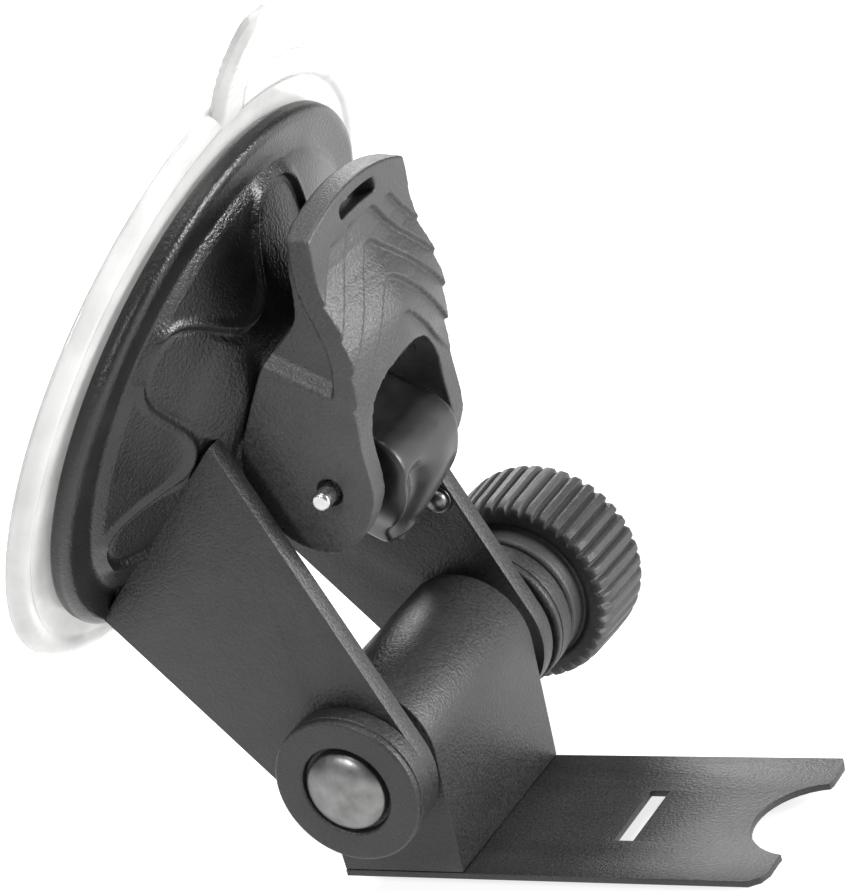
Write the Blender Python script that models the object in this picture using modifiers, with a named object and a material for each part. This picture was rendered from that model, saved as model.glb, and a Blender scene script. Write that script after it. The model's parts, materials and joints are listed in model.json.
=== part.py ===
"""Suction-cup windscreen mount: cam-lever cup, two fixed arms, knob-locked pivot and a slotted flat plate.

Frame: origin at the centre of the suction face, +X along the flat plate away from the cup, +Y along the
pivot axis towards the knob, +Z up, square to the flat plate.  Lengths below are in millimetres.
"""

import math

import bmesh
import bpy

MM = 0.001

# ---- driving dimensions ---------------------------------------------------------------------------------
CUP_TILT = 29.6            # the cup's axis points this far below +X, degrees
CUP_R = 41.9
COVER_R = 35.7
COVER_BASE_A = 2.5         # heights above the suction face, measured along the cup's axis
BOSS_TOP_A = 15.2
PIN_A = 28.0
PIN_R = 1.25
PLUNGER_STROKE = 3.4

ARM_INNER_Y = 15.86
ARM_T = 2.76
ARM_OUTER_Y = ARM_INNER_Y + ARM_T
PIVOT_X = 20.80
PIVOT_Z = -50.29

KNUCKLE_HALF = 14.41
BOLT_R = 3.0
WASHER_R = 10.0
WASHER_T = 4.1

PLATE_TOP = -16.94         # below the pivot axis
PLATE_T = 0.87
PLATE_X0 = -9.5
PLATE_X1 = 49.5

SEGMENTS = 48

# ---- material table: base colour, roughness, metallic ---------------------------------------------------
LOOKS = {
    "clear_pvc": ((0.80, 0.81, 0.80, 1.0), 0.25, 0.0),
    "satin_abs": ((0.030, 0.031, 0.033, 1.0), 0.42, 0.0),
    "gloss_abs": ((0.020, 0.020, 0.022, 1.0), 0.25, 0.0),
    "lever_nylon": ((0.045, 0.045, 0.046, 1.0), 0.50, 0.0),
    "powder_coat": ((0.040, 0.040, 0.041, 1.0), 0.55, 0.0),
    "knob_rubber": ((0.040, 0.040, 0.040, 1.0), 0.62, 0.0),
    "bright_steel": ((0.70, 0.69, 0.67, 1.0), 0.28, 1.0),
    "dark_steel": ((0.16, 0.16, 0.17, 1.0), 0.35, 1.0),
    "white_nylon": ((0.75, 0.74, 0.70, 1.0), 0.45, 0.0),
}


# ---- helpers --------------------------------------------------------------------------------------------
def clear_scene():
    for obj in list(bpy.data.objects):
        bpy.data.objects.remove(obj, do_unlink=True)


def collection(name):
    coll = bpy.data.collections.new(name)
    bpy.context.scene.collection.children.link(coll)
    return coll


clear_scene()
PARTS = collection("suction_mount")
CUTTERS = collection("cutters")


def material(name):
    mat = bpy.data.materials.get(name)
    if mat is None:
        colour, roughness, metallic = LOOKS[name]
        mat = bpy.data.materials.new(name)
        mat.use_nodes = True
        shader = mat.node_tree.nodes["Principled BSDF"]
        shader.inputs["Base Color"].default_value = colour
        shader.inputs["Roughness"].default_value = roughness
        shader.inputs["Metallic"].default_value = metallic
    return mat


def empty(name, location=(0, 0, 0), degrees=(0, 0, 0), parent=None):
    obj = bpy.data.objects.new(name, None)
    obj.location = [c * MM for c in location]
    obj.rotation_euler = [math.radians(d) for d in degrees]
    obj.parent = parent
    PARTS.objects.link(obj)
    return obj


def place(obj, parent, location=(0, 0, 0), degrees=(0, 0, 0)):
    obj.parent = parent
    obj.location = [c * MM for c in location]
    obj.rotation_euler = [math.radians(d) for d in degrees]
    return obj


def finish(obj, look, cutter=False):
    coll = CUTTERS if cutter else PARTS
    coll.objects.link(obj)
    if cutter:
        obj.hide_render = True
        obj.display_type = "WIRE"
    else:
        own = material(look).copy()
        own.name = f"{obj.name}_{look}"
        obj.data.materials.append(own)
    return obj


def shade(mesh, angle=35.0):
    mesh.shade_smooth()
    mesh.set_sharp_from_angle(angle=math.radians(angle))


def lathe(name, profile, look=None, steps=SEGMENTS, closed=False, cutter=False):
    """Turn a (radius, height) profile about local Z; it runs down the outer side, top to bottom."""
    mesh = bpy.data.meshes.new(name)
    verts = [(r * MM, 0.0, z * MM) for r, z in profile]
    edges = [(i, i + 1) for i in range(len(profile) - 1)]
    if closed:
        edges.append((len(profile) - 1, 0))
    mesh.from_pydata(verts, edges, [])
    obj = bpy.data.objects.new(name, mesh)
    screw = obj.modifiers.new("turn", "SCREW")
    screw.axis = "Z"
    screw.angle = math.radians(360)
    screw.steps = steps
    screw.render_steps = steps
    screw.use_merge_vertices = True
    screw.merge_threshold = 0.00001
    screw.use_smooth_shade = True
    return finish(obj, look, cutter)


def flat(name, outline, thickness, look=None, holes=(), cutter=False):
    """Extrude a closed 2D outline about local Z = 0, with holes, as a mesh."""
    curve = bpy.data.curves.new(name, "CURVE")
    curve.dimensions = "2D"
    curve.fill_mode = "BOTH"
    curve.extrude = 0.5 * thickness * MM
    for loop in (outline, *holes):
        spline = curve.splines.new("POLY")
        spline.points.add(len(loop) - 1)
        spline.use_cyclic_u = True
        for point, (x, y) in zip(spline.points, loop):
            point.co = (x * MM, y * MM, 0.0, 1.0)
    return to_mesh(name, curve, look, cutter)


def tube(name, points, radius, look):
    curve = bpy.data.curves.new(name, "CURVE")
    curve.dimensions = "3D"
    curve.bevel_depth = radius * MM
    curve.bevel_resolution = 2
    curve.use_fill_caps = True
    spline = curve.splines.new("POLY")
    spline.points.add(len(points) - 1)
    for point, (x, y, z) in zip(spline.points, points):
        point.co = (x * MM, y * MM, z * MM, 1.0)
    return to_mesh(name, curve, look, False)


def to_mesh(name, curve, look, cutter):
    source = bpy.data.objects.new(name + "_curve", curve)
    bpy.context.scene.collection.objects.link(source)
    bpy.context.view_layer.update()
    evaluated = source.evaluated_get(bpy.context.evaluated_depsgraph_get())
    mesh = bpy.data.meshes.new_from_object(evaluated)
    mesh.name = name
    work = bmesh.new()
    work.from_mesh(mesh)
    bmesh.ops.remove_doubles(work, verts=work.verts, dist=0.000001)
    bmesh.ops.recalc_face_normals(work, faces=work.faces)
    work.to_mesh(mesh)
    work.free()
    mesh.materials.clear()
    obj = bpy.data.objects.new(name, mesh)
    bpy.data.objects.remove(source, do_unlink=True)
    return finish(obj, look, cutter)


def cylinder(name, radius, z0, z1, look=None, sides=32, cutter=False):
    work = bmesh.new()
    bmesh.ops.create_cone(work, cap_ends=True, segments=sides, radius1=radius * MM, radius2=radius * MM,
                          depth=(z1 - z0) * MM)
    bmesh.ops.translate(work, verts=work.verts, vec=(0, 0, 0.5 * (z0 + z1) * MM))
    mesh = bpy.data.meshes.new(name)
    work.to_mesh(mesh)
    work.free()
    shade(mesh)
    return finish(bpy.data.objects.new(name, mesh), look, cutter)


def box(name, low, high, look=None, cutter=False):
    work = bmesh.new()
    bmesh.ops.create_cube(work, size=1.0)
    size = [(b - a) * MM for a, b in zip(low, high)]
    centre = [0.5 * (a + b) * MM for a, b in zip(low, high)]
    bmesh.ops.scale(work, verts=work.verts, vec=size)
    bmesh.ops.translate(work, verts=work.verts, vec=centre)
    mesh = bpy.data.meshes.new(name)
    work.to_mesh(mesh)
    work.free()
    return finish(bpy.data.objects.new(name, mesh), look, cutter)


def combine(obj, other, operation="DIFFERENCE"):
    mod = obj.modifiers.new(operation.lower(), "BOOLEAN")
    mod.operation = operation
    mod.solver = "EXACT"
    mod.object = other


def bevel(obj, width, segments=2, angle=40.0):
    mod = obj.modifiers.new("soft_edges", "BEVEL")
    mod.width = width * MM
    mod.segments = segments
    mod.limit_method = "ANGLE"
    mod.angle_limit = math.radians(angle)
    mod.use_clamp_overlap = True


def arc(cx, cy, radius, start, end, count):
    """Points on a circle from start to end, in degrees."""
    steps = [start + (end - start) * i / (count - 1) for i in range(count)]
    return [(cx + radius * math.cos(math.radians(t)), cy + radius * math.sin(math.radians(t))) for t in steps]


# ---- frames the parts hang on ---------------------------------------------------------------------------
# cup_axis: local Z runs along the cup's axis, away from the glass.  cup_side: local X is that same
# direction, local Y climbs the face of the cup and local Z is the row's -Y.
CUP_AXIS = empty("cup_axis", degrees=(0, 90 + CUP_TILT, 0))
CUP_SIDE = empty("cup_side", degrees=(90, CUP_TILT, 0))
PIN_SIDE = empty("pin_side", location=(PIN_A, 0, 0), parent=CUP_SIDE)
PIVOT = empty("pivot_axis", location=(PIVOT_X, 0, PIVOT_Z), degrees=(-90, 0, 0))
PIVOT_SIDE = empty("pivot_side", location=(PIVOT_X, 0, PIVOT_Z), degrees=(90, 0, 0))


# ---- suction cup and cover ------------------------------------------------------------------------------
def build_suction_cup():
    profile = [(0, 7.0), (9, 7.0), (14, 6.1), (20, 4.3), (26, 2.7), (31, 2.15), (36.5, 1.75),
               (38.6, 1.75), (39.4, 2.25), (40.2, 2.3), (40.9, 1.8), (CUP_R - 0.4, 1.15),
               (CUP_R, 0.5), (CUP_R - 0.1, 0.15), (41.1, 0.0), (37.8, 0.0), (35.5, 0.6), (30, 1.1),
               (22, 2.7), (12, 4.6), (0, 5.0)]
    cup = lathe("suction_cup", profile, "clear_pvc", steps=60)
    place(cup, CUP_AXIS)
    tab = flat("pull_tab", pull_tab_outline(), TAB_WIDTH, cutter=True)
    place(tab, CUP_AXIS, degrees=(90, 0, TAB_ANGLE))
    combine(cup, tab, "UNION")


TAB_ANGLE = 190.0          # round the cup's axis, measured from the lowest point of the rim
TAB_WIDTH = 6.5
TAB_T = 2.5
TAB_REACH_DEG = 19.5
TAB_CURL_R = 47.0          # the tab runs straight out, then curls slightly away from the glass


def pull_tab_outline():
    """Side view of the pull tab, radius against height above the suction face."""
    root_r, root_a = 41.0, 1.30
    centre_a = root_a + TAB_CURL_R
    under = arc(root_r, centre_a, TAB_CURL_R + TAB_T / 2, 270, 270 + TAB_REACH_DEG, 8)
    over = arc(root_r, centre_a, TAB_CURL_R - TAB_T / 2, 270 + TAB_REACH_DEG, 270, 8)
    return [(39.8, root_a - TAB_T / 2)] + under + over + [(39.8, root_a + TAB_T / 2)]


def build_cover():
    bore = 3.9
    profile = [(bore, BOSS_TOP_A), (13.4, BOSS_TOP_A), (14.6, 14.8), (17.0, 13.6), (19.4, 12.0), (22.0, 10.2),
               (26.0, 8.2), (29.6, 6.5), (30.9, 5.2), (34.7, 5.2), (35.4, 4.9), (COVER_R, 4.3),
               (COVER_R, 3.0), (35.4, COVER_BASE_A), (31.6, COVER_BASE_A), (29.0, 4.2), (22.0, 6.4),
               (16.0, 9.0), (13.2, 12.3), (9.6, 12.7), (bore, 12.7)]
    cover = lathe("base_cover", profile, "satin_abs", steps=60, closed=True)
    place(cover, CUP_AXIS)
    for side, sign in (("near", 1), ("far", -1)):
        pocket = flat(f"arm_pocket_{side}", arm_outline(grow=0.15), ARM_T + 0.3, cutter=True)
        place(pocket, CUP_SIDE, location=(0, 0, sign * (ARM_INNER_Y + 0.5 * ARM_T)))
        combine(cover, pocket)
    for index, (m, seat, sign) in enumerate(ARM_SCREWS, start=1):
        head = cylinder(f"screw_seat_{index}", 1.95, 0.0, seat, sides=16, cutter=True)
        shank = cylinder(f"screw_way_{index}", 1.10, 0.0, 12.0, sides=16, cutter=True)
        for tool in (head, shank):
            place(tool, CUP_AXIS, location=(-m, -sign * (ARM_INNER_Y + 0.5 * ARM_T), 0))
            combine(cover, tool)


# ---- arms -----------------------------------------------------------------------------------------------
PIVOT_A = 42.96            # the pivot axis in the cup's own side view
PIVOT_M = -33.4
ARM_TOP = (12.6, 3.9)      # corner nearest the lever
ARM_LOW = (4.7, -29.4)     # corner at the cover's rim
UPPER_EDGE_R = 9.37        # distance of each long edge from the pivot axis
LOWER_EDGE_R = 10.65
UPPER_EDGE_DEG = 50.0      # direction of each edge's outward normal
LOWER_EDGE_DEG = -111.6
ARM_SCREWS = ((-6.0, 7.6, 1), (-21.0, 5.0, 1), (-6.0, 7.6, -1), (-21.0, 5.0, -1))
STOP_RIVET = (32.6, -15.7)
WINDOW_LOW = (20.0, -24.4)
WINDOW_HIGH = (29.6, -17.4)


def arm_outline(grow=0.0):
    """Tapered arm in the cup's side view; its round end eases from the upper edge's radius to the lower's."""
    points = [(ARM_TOP[0] - grow, ARM_TOP[1] + grow)]
    count = 25
    for i in range(count):
        part = i / (count - 1)
        angle = math.radians(UPPER_EDGE_DEG + (LOWER_EDGE_DEG - UPPER_EDGE_DEG) * part)
        radius = UPPER_EDGE_R + (LOWER_EDGE_R - UPPER_EDGE_R) * part ** 2 + grow
        points.append((PIVOT_A + radius * math.cos(angle), PIVOT_M + radius * math.sin(angle)))
    points.append((ARM_LOW[0] - grow, ARM_LOW[1] - grow))
    return points


def build_arm(name, sign, holes):
    arm = flat(name, arm_outline(), ARM_T, "powder_coat", holes=holes)
    place(arm, CUP_SIDE, location=(0, 0, sign * (ARM_INNER_Y + 0.5 * ARM_T)))
    for index, (m, seat, side) in enumerate(ARM_SCREWS, start=1):
        if side == sign:
            hole = cylinder(f"arm_tap_{index}", 0.95, 0.0, seat + 9.0, sides=16, cutter=True)
            place(hole, CUP_AXIS, location=(-m, -sign * (ARM_INNER_Y + 0.5 * ARM_T), 0))
            combine(arm, hole)


def build_arms():
    turn = CUP_TILT
    square = arc(PIVOT_A, PIVOT_M, 4.4, 45 + turn, 315 + turn, 4)
    round_hole = arc(PIVOT_A, PIVOT_M, BOLT_R + 0.15, 0, 345, 24)
    (a0, m0), (a1, m1) = WINDOW_LOW, WINDOW_HIGH
    window = [(a0, m0), (a1, m0), (a1, m1), (a0, m1)]
    rivet_hole = arc(STOP_RIVET[0], STOP_RIVET[1], 1.25, 0, 337.5, 16)
    build_arm("near_arm", 1, [square])
    build_arm("far_arm", -1, [round_hole, window, rivet_hole])


def build_arm_screws():
    for index, (m, seat, sign) in enumerate(ARM_SCREWS, start=1):
        profile = [(0, seat + 7.5), (0.6, seat + 7.5), (0.85, seat + 7.2), (0.85, seat - 0.05),
                   (1.7, seat - 0.05), (1.7, seat - 0.8), (1.4, seat - 1.1), (0, seat - 1.1)]
        screw = lathe(f"arm_screw_{index}", profile, "dark_steel", steps=16)
        place(screw, CUP_AXIS, location=(-m, -sign * (ARM_INNER_Y + 0.5 * ARM_T), 0))


def build_stop_rivet():
    dome = [(1.55 * math.cos(math.radians(t)), ARM_T / 2 + 0.32 + 1.3 * math.sin(math.radians(t)))
            for t in (90, 70, 50, 30, 12)]
    profile = dome + [(1.55, ARM_T / 2 + 0.3), (1.95, ARM_T / 2 + 0.25), (1.95, ARM_T / 2 + 0.05),
                      (1.15, ARM_T / 2 + 0.05), (1.15, -ARM_T / 2 - 0.05), (1.7, -ARM_T / 2 - 0.05),
                      (1.5, -ARM_T / 2 - 0.45), (0, -ARM_T / 2 - 0.45)]
    rivet = lathe("stop_rivet", profile, "dark_steel", steps=24)
    place(rivet, CUP_SIDE, location=(*STOP_RIVET, -(ARM_INNER_Y + 0.5 * ARM_T)))


# ---- plunger: stud, head, pin, spring -------------------------------------------------------------------
HEAD_HALF = 7.6
HEAD_BACK_A = 19.0
STUD_R = 3.5
STUD_TOP_A = 25.6


def build_stud():
    profile = [(0, STUD_TOP_A), (2.9, STUD_TOP_A), (STUD_R, 25.0), (STUD_R, 9.3), (8.6, 9.3), (9.0, 8.9),
               (9.0, 7.6), (8.6, 7.25), (0, 7.25)]
    place(lathe("cup_stud", profile, "bright_steel", steps=32), CUP_AXIS)


def head_outline():
    """Side view of the stud's head: flat back, full brow and a nose that narrows downwards."""
    brow = arc(30.4, 1.9, 5.4, 112, 12, 8)
    nose = [(36.1, 0.4), (36.2, -2.6), (35.4, -7.0)]
    tip = arc(32.8, -8.9, 2.2, 15, -100, 6)
    return [(HEAD_BACK_A, 7.0)] + brow + nose + tip + [(27.0, -10.6), (HEAD_BACK_A, -9.0)]


def head_front():
    """Front view of the head, height up the cup's face against width: full at the pin, narrow at the chin."""
    half = [(HEAD_HALF - 1.2, 9.5), (HEAD_HALF + 0.1, 6.5), (HEAD_HALF + 0.1, -2.2), (6.0, -5.4),
            (3.8, -8.4), (1.4, -12.0)]
    return [(y, m) for y, m in half] + [(-y, m) for y, m in reversed(half)]


def build_stud_head():
    head = flat("stud_head", head_outline(), 2 * HEAD_HALF, "gloss_abs")
    place(head, CUP_SIDE)
    front = flat("head_front", head_front(), 60.0, cutter=True)
    place(front, PIN_SIDE, degrees=(0, 90, 0))
    combine(head, front, "INTERSECT")
    bevel(head, 2.2, segments=3, angle=55)
    bore = cylinder("stud_bore", STUD_R + 0.06, 10.0, STUD_TOP_A + 0.3, cutter=True)
    place(bore, CUP_AXIS)
    combine(head, bore)
    cross = cylinder("head_cross_bore", PIN_R + 0.05, -20, 20, sides=24, cutter=True)
    place(cross, PIN_SIDE)
    combine(head, cross)


def build_pin():
    half = 15.55
    profile = [(0, half), (PIN_R - 0.25, half), (PIN_R, half - 0.25), (PIN_R, -half + 0.25),
               (PIN_R - 0.25, -half), (0, -half)]
    place(lathe("lever_pin", profile, "bright_steel", steps=24), PIN_SIDE)


def build_pin_washers():
    for name, sign in (("near_pin_washer", 1), ("far_pin_washer", -1)):
        ring = lathe(name, [(PIN_R + 0.08, 0.35), (3.4, 0.35), (3.4, -0.35), (PIN_R + 0.08, -0.35)],
                     "white_nylon", steps=24, closed=True)
        place(ring, PIN_SIDE, location=(0, 0, sign * (HEAD_HALF + 0.75)))


def build_spring():
    radius, wire, turns, low, high = 6.6, 0.38, 2.6, 9.85, 12.15
    count = int(turns * 18)
    points = []
    for i in range(count + 1):
        angle = 2 * math.pi * turns * i / count
        height = low + (high - low) * i / count
        points.append((radius * math.cos(angle), radius * math.sin(angle), height))
    place(tube("release_spring", points, wire, "bright_steel"), CUP_AXIS)


# ---- lever ----------------------------------------------------------------------------------------------
LEVER_HALF = 12.75
CHEEK_T = 3.2
SHELL_T = 3.2
CAM_BACK = BOSS_TOP_A + 0.25 - PIN_A       # the cam's flat, measured from the pin
CAM_LOCKED_R = -CAM_BACK - 0.12
CAM_SWING = 95             # degrees from locked to released


def front_line():
    """The pad's outer face from its tip down to the foot, measured from the pin."""
    return [(-10.4, 31.6), (-7.6, 26.8), (-4.6, 23.4), (-1.7, 19.8), (0.0, 15.8), (0.9, 12.6), (2.5, 8.2),
            (4.6, 4.4), (5.7, 1.9), (5.9, -0.9)]


def cam_line():
    """From the foot round the cam to its flat; the radius grows evenly as the lever closes."""
    foot = [(5.4, -4.2), (4.2, -6.8)]
    cam = []
    for degrees in range(CAM_SWING, -1, -10):
        radius = CAM_LOCKED_R - PLUNGER_STROKE * degrees / CAM_SWING
        angle = math.radians(degrees)
        cam.append((-radius * math.cos(angle), -radius * math.sin(angle)))
    return foot + cam


def lever_outline():
    back = [(CAM_BACK, 1.0), (CAM_BACK, 10.0), (-11.9, 15.6), (-9.3, 22.3), (-11.3, 26.2), (-13.7, 30.2)]
    return front_line() + cam_line() + back


def build_lever():
    lever = flat("lock_lever", lever_outline(), 2 * LEVER_HALF, "lever_nylon")
    place(lever, PIN_SIDE)
    inner = [(x - SHELL_T, y - 0.6) for x, y in front_line()[3:-1]]
    hollow = [(-20.0, 21.0), (-8.6, 21.0)] + inner + [(9.0, -6.0), (9.0, -16.0), (-20.0, -16.0)]
    channel = flat("lever_channel", hollow, 2 * (LEVER_HALF - CHEEK_T), cutter=True)
    place(channel, PIN_SIDE)
    combine(lever, channel)
    crown = [(9.5, 8.4), (9.2, 11.2), (8.2, 13.2), (6.4, 14.6), (3.8, 15.3)]
    arch = [(9.5, -20.0)] + crown + [(0.0, 15.5)] + [(-y, m) for y, m in reversed(crown)] + [(-9.5, -20.0)]
    opening = flat("arch_cutter", arch, 20.0, cutter=True)
    place(opening, PIN_SIDE, location=(8.5, 0, 0), degrees=(0, 90, 0))
    combine(lever, opening)
    bore = cylinder("lever_bore", PIN_R + 0.10, -20, 20, sides=24, cutter=True)
    place(bore, PIN_SIDE)
    combine(lever, bore)
    mouth = cylinder("pin_mouth", PIN_R + 0.45, -0.8, 0.8, sides=24, cutter=True)
    place(mouth, PIN_SIDE, location=(0, 0, LEVER_HALF))
    combine(lever, mouth)


# ---- pivot hardware -------------------------------------------------------------------------------------
WASHER_FACE_Y = -(ARM_OUTER_Y + WASHER_T)
HEAD_R = 5.45
SHIM_Y = ARM_OUTER_Y + 0.1
FAR_WASHER_Y = SHIM_Y + 0.8
LOCK_WASHER_Y = FAR_WASHER_Y + 4.3
KNOB_Y = LOCK_WASHER_Y + 0.8
KNOB_END_Y = 40.6
KNOB_BODY_Y = KNOB_Y + 2.9


def build_pivot_bolt():
    seat = WASHER_FACE_Y + 1.05
    dome = []
    for degrees in (90, 72, 54, 36, 20, 8):
        angle = math.radians(degrees)
        dome.append((HEAD_R * math.cos(angle), seat - 0.9 - 1.75 * math.sin(angle)))
    lower = [(r, y) for r, y in dome] + [(HEAD_R, seat - 0.6), (HEAD_R, seat - 0.05)]
    shank = [(BOLT_R, seat - 0.05), (BOLT_R, 37.5), (BOLT_R - 0.6, 38.1), (0, 38.1)]
    profile = list(reversed(lower + shank))
    bolt = lathe("pivot_bolt", profile, "bright_steel", steps=40)
    place(bolt, PIVOT)
    neck = box("square_neck", (-3.0, -3.0, -ARM_OUTER_Y + 0.2), (3.0, 3.0, -ARM_INNER_Y - 0.2), cutter=True)
    place(neck, PIVOT)
    combine(bolt, neck, "UNION")


def build_near_washer():
    face = WASHER_FACE_Y
    back = -ARM_OUTER_Y - 0.06
    profile = [(BOLT_R + 0.2, back), (WASHER_R - 0.25, back), (WASHER_R, back - 0.25), (WASHER_R, face + 1.25),
               (WASHER_R - 0.3, face + 1.1), (WASHER_R, face + 0.9), (WASHER_R, face + 0.25),
               (WASHER_R - 0.25, face), (6.1, face), (6.0, face + 1.05), (BOLT_R + 0.2, face + 1.05)]
    place(lathe("near_washer", profile, "powder_coat", closed=True), PIVOT)


def build_far_stack():
    shim = [(BOLT_R + 0.2, FAR_WASHER_Y - 0.06), (7.2, FAR_WASHER_Y - 0.06), (7.2, SHIM_Y), (BOLT_R + 0.2, SHIM_Y)]
    place(lathe("far_shim", shim, "white_nylon", steps=40, closed=True), PIVOT)
    low, high = FAR_WASHER_Y, LOCK_WASHER_Y - 0.06
    washer = [(BOLT_R + 0.2, high), (WASHER_R - 0.35, high), (WASHER_R, high - 0.35), (WASHER_R, low + 1.0),
              (WASHER_R - 0.25, low + 0.85), (WASHER_R, low + 0.7), (WASHER_R, low + 0.3),
              (WASHER_R - 0.3, low), (BOLT_R + 0.2, low)]
    place(lathe("far_washer", washer, "powder_coat", closed=True), PIVOT)
    lock = [(BOLT_R + 0.2, KNOB_Y - 0.12), (7.0, KNOB_Y - 0.12), (7.0, LOCK_WASHER_Y), (BOLT_R + 0.2, LOCK_WASHER_Y)]
    place(lathe("lock_washer", lock, "dark_steel", steps=40, closed=True), PIVOT)


KNOB_RIBS = 40
KNOB_TIP_R = 13.5
KNOB_ROOT_R = 12.7
NUT_AF = 10.0


def build_knob():
    outline = []
    for i in range(KNOB_RIBS):
        start = 360.0 * i / KNOB_RIBS
        step = 360.0 / KNOB_RIBS
        for part, radius in ((0.0, KNOB_ROOT_R), (0.45, KNOB_TIP_R), (0.85, KNOB_TIP_R - 0.05)):
            angle = math.radians(start + part * step)
            outline.append((radius * math.cos(angle), radius * math.sin(angle)))
    body_len = KNOB_END_Y - KNOB_BODY_Y
    knob = flat("knob", outline, body_len, "knob_rubber")
    place(knob, PIVOT, location=(0, 0, KNOB_BODY_Y + 0.5 * body_len))
    keep = lathe("knob_envelope", [(0, KNOB_END_Y), (10.8, KNOB_END_Y), (12.7, KNOB_END_Y - 0.5),
                                   (13.5, KNOB_END_Y - 1.7), (13.6, KNOB_END_Y - 4.0),
                                   (13.15, KNOB_BODY_Y + 0.8), (12.8, KNOB_BODY_Y - 0.01),
                                   (0, KNOB_BODY_Y - 0.01)], cutter=True)
    place(keep, PIVOT)
    combine(knob, keep, "INTERSECT")
    hub = lathe("knob_hub", [(0, KNOB_BODY_Y + 1.0), (9.2, KNOB_BODY_Y + 1.0), (9.7, KNOB_Y + 0.4),
                             (9.3, KNOB_Y), (0, KNOB_Y)], cutter=True)
    place(hub, PIVOT)
    combine(knob, hub, "UNION")
    bore = cylinder("knob_bore", BOLT_R + 0.2, KNOB_Y - 2, 38.6, cutter=True)
    place(bore, PIVOT)
    combine(knob, bore)
    pocket = cylinder("nut_pocket", (0.5 * NUT_AF + 0.08) / math.cos(math.radians(30)), KNOB_Y - 2,
                      KNOB_Y + 5.3, sides=6, cutter=True)
    place(pocket, PIVOT)
    combine(knob, pocket)


def build_knob_nut():
    nut = cylinder("knob_nut", 0.5 * NUT_AF / math.cos(math.radians(30)), KNOB_Y + 0.15, KNOB_Y + 5.15,
                   "bright_steel", sides=6)
    place(nut, PIVOT)
    bore = cylinder("nut_bore", BOLT_R + 0.06, KNOB_Y - 2, KNOB_Y + 8, sides=32, cutter=True)
    place(bore, PIVOT)
    combine(nut, bore)


# ---- knuckle, bushes and flat plate ---------------------------------------------------------------------
BARREL_X = -0.4
BARREL_Z = 1.0
BARREL_R = 9.3
BUSH_R = 4.5
PLATE_SCREWS = (-8.0, 8.0)


def build_knuckle():
    top = PLATE_TOP + 0.05
    outline = arc(BARREL_X, BARREL_Z, BARREL_R, -4, 184, 33) + [(PLATE_X0, top + 1.0), (PLATE_X0, top), (7.8, top)]
    bore = arc(0, 0, BUSH_R + 0.06, 0, 348.75, 32)
    block = flat("knuckle_block", outline, 2 * KNUCKLE_HALF, "powder_coat", holes=[bore])
    place(block, PIVOT_SIDE)
    for index, y in enumerate(PLATE_SCREWS, start=1):
        hole = cylinder(f"plate_tap_{index}", 1.60, PLATE_TOP - 5, -9.4, sides=16, cutter=True)
        place(hole, PIVOT_SIDE, location=(-0.9, 0, -y), degrees=(-90, 0, 0))
        combine(block, hole)


def build_bushes():
    for name, sign in (("near_bush", -1), ("far_bush", 1)):
        face = KNUCKLE_HALF + 0.05
        rim = ARM_INNER_Y - 0.12
        profile = [(BOLT_R + 0.06, rim), (7.6, rim), (7.6, face), (BUSH_R, face), (BUSH_R, 3.0),
                   (BOLT_R + 0.06, 3.0)]
        bush = lathe(name, profile, "white_nylon", steps=40, closed=True)
        place(bush, PIVOT, degrees=(0, 0, 0) if sign > 0 else (180, 0, 0))


def build_plate():
    half = KNUCKLE_HALF
    notch_x, notch_r = 50.9, 8.4
    near_notch = arc(notch_x, 0, notch_r, 101, 259, 19)
    tip = PLATE_X1 - 0.3
    outline = [(PLATE_X0, -half), (tip - 2.0, -half), (tip - 0.6, -half + 1.0),
               (tip, -half + 2.6), (tip, -9.0)] + list(reversed(near_notch))
    outline += [(PLATE_X1, 9.0), (PLATE_X1, half - 1.6), (PLATE_X1 - 0.7, half), (PLATE_X0, half)]
    slot = [(25.27, -5.91), (28.0, -5.91), (28.0, 5.91), (25.27, 5.91)]
    holes = [slot] + [arc(-0.9, y, 1.65, 0, 337.5, 16) for y in PLATE_SCREWS]
    plate = flat("camera_plate", outline, PLATE_T, "powder_coat", holes=holes)
    frame = empty("plate_frame", location=(PIVOT_X, 0, PIVOT_Z + PLATE_TOP - 0.5 * PLATE_T))
    place(plate, frame)


def build_plate_screws():
    under = PLATE_TOP - PLATE_T
    for index, y in enumerate(PLATE_SCREWS, start=1):
        profile = [(0, -10.0), (1.2, -10.0), (1.5, -10.3), (1.5, under - 0.05), (2.8, under - 0.05),
                   (2.7, under - 0.8), (2.1, under - 1.4), (0, under - 1.6)]
        screw = lathe(f"plate_screw_{index}", profile, "dark_steel", steps=24)
        frame = empty(f"plate_screw_{index}_axis", location=(PIVOT_X - 0.9, y, PIVOT_Z))
        place(screw, frame)


def main():
    build_suction_cup()
    build_cover()
    build_arms()
    build_arm_screws()
    build_stop_rivet()
    build_stud()
    build_stud_head()
    build_pin()
    build_pin_washers()
    build_spring()
    build_lever()
    build_pivot_bolt()
    build_near_washer()
    build_far_stack()
    build_knob()
    build_knob_nut()
    build_knuckle()
    build_bushes()
    build_plate()
    build_plate_screws()
    for obj in PARTS.objects:
        if obj.type == "MESH" and not obj.modifiers:
            shade(obj.data)
    bpy.context.view_layer.update()


main()
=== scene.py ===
"""Studio scene for the suction-cup windscreen mount: fine meshes and materials built over the CAD frame."""
import json
import math

import bmesh
import bpy
import numpy as np
from mathutils import Matrix, Vector


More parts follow.
